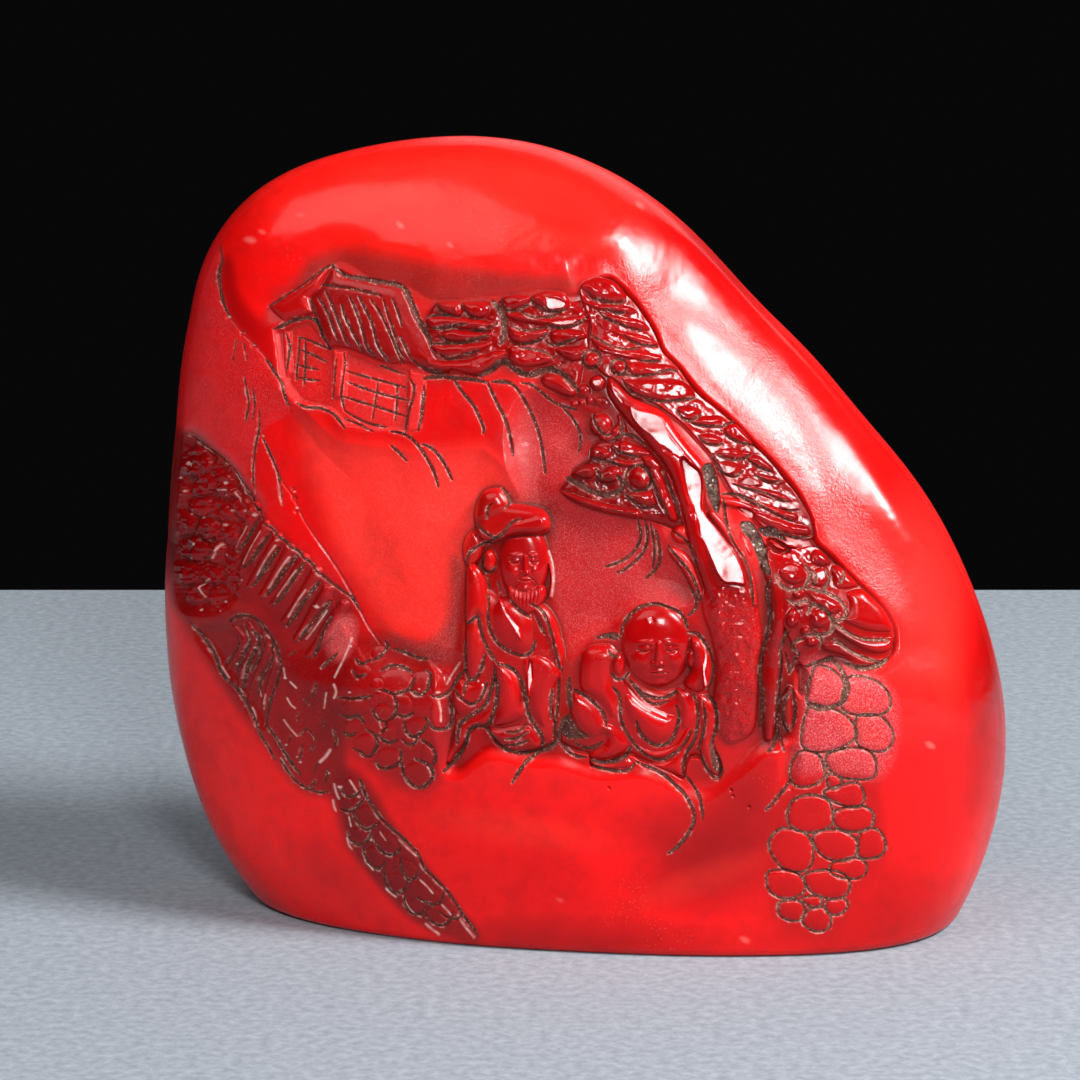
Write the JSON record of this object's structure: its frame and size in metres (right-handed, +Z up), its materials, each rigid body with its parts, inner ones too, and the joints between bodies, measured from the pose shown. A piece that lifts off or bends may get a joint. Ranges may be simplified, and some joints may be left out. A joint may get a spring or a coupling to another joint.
{
  "type": "carved stone seal",
  "caption": "Freeform red stone seal with a shallow landscape carved over its front, brown paste in the carved lines, and a flat seal face below for standing and stamping.",
  "frame": {"origin": "middle of the flat seal face at the bottom, under the middle of the whole object's box", "axes": "+X to the viewer's right across the carved front, +Y from the carved front to the plain back, +Z up from the seal face to the crown"},
  "size_m": [0.0882, 0.0454, 0.0809],
  "materials": {
    "stone": "polished red stone with pink, frosted cut ground",
    "paste": "dry brown wax paste with pale grit",
    "deposit": "grey grainy filling in deep hollows"
  },
  "bodies": {
    "root": {"branch_undercut_paste": "paste", "centre_scale_lower_paste": "paste", "centre_scale_upper_paste": "paste", "cliff_line_paste": "paste", "eave_paste": "paste", "fan_ray_paste": "paste", "fan_tongue_paste": "paste", "fork_hollow_deposit": "deposit", "grass_paste": "paste", "ledge_paste": "paste", "left_scale_paste": "paste", "monk_arm_paste": "paste", "monk_belly_paste": "paste", "monk_knee_paste": "paste", "monk_sleeve_paste": "paste", "monk_tail_paste": "paste", "needle_fringe_paste": "paste", "pine_crown_paste": "paste", "pine_gap_paste": "paste", "pine_left_paste": "paste", "pine_middle_paste": "paste", "pine_right_lower_paste": "paste", "pine_right_middle_paste": "paste", "pine_right_upper_paste": "paste", "right_post_paste": "paste", "right_scale_foot_paste": "paste", "right_scale_lower_paste": "paste", "right_scale_middle_paste": "paste", "right_scale_upper_paste": "paste", "roof_ridge_paste": "paste", "roof_thatch_paste": "paste", "root_fork_paste": "paste", "root_line_paste": "paste", "sage_belly_paste": "paste", "sage_hem_paste": "paste", "sage_knee_paste": "paste", "seal_stone": "stone", "steps_paste": "paste", "stream_paste": "paste", "trunk_bark_paste": "paste", "trunk_hollow_deposit": "deposit", "twig_paste": "paste", "upper_facet_paste": "paste", "wall_lattice_paste": "paste", "window_lattice_paste": "paste"}
  },
  "joints": []
}
